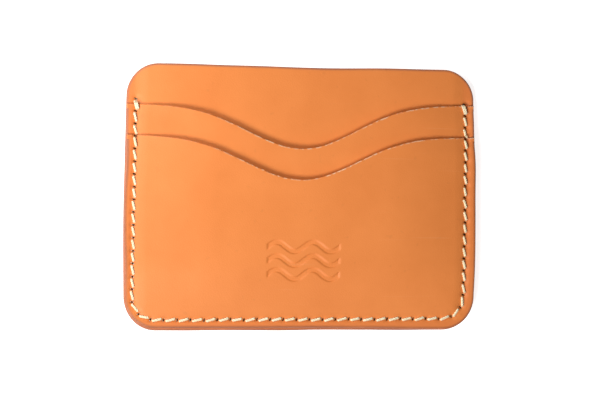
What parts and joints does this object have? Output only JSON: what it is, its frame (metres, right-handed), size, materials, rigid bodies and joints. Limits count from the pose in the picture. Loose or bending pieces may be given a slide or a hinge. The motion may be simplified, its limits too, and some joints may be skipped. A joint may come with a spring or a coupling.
{
  "type": "card holder",
  "caption": "Flat hand-stitched leather card holder with stacked front pockets, wave-shaped mouths and a centre slot that is open at the top.",
  "frame": {"origin": "middle of the back face, on the surface that the holder lies on", "axes": "+X across the width to the right as seen from the front, +Y towards the pocket mouths and the open top edge, +Z out of the front face"},
  "size_m": [0.1, 0.075, 0.0064],
  "materials": {
    "panel_leather": "smooth tan vegetable-tanned leather, satin, with burnished edges",
    "pocket_leather": "smooth tan vegetable-tanned leather, satin, with fine grain and light handling marks",
    "waxed_thread": "twisted waxed cream thread"
  },
  "bodies": {
    "root": {"back_panel": "panel_leather", "centre_panel": "panel_leather", "upper_pocket": "pocket_leather", "front_pocket": "pocket_leather", "seam_thread": "waxed_thread", "foot_thread": "waxed_thread"}
  },
  "joints": []
}
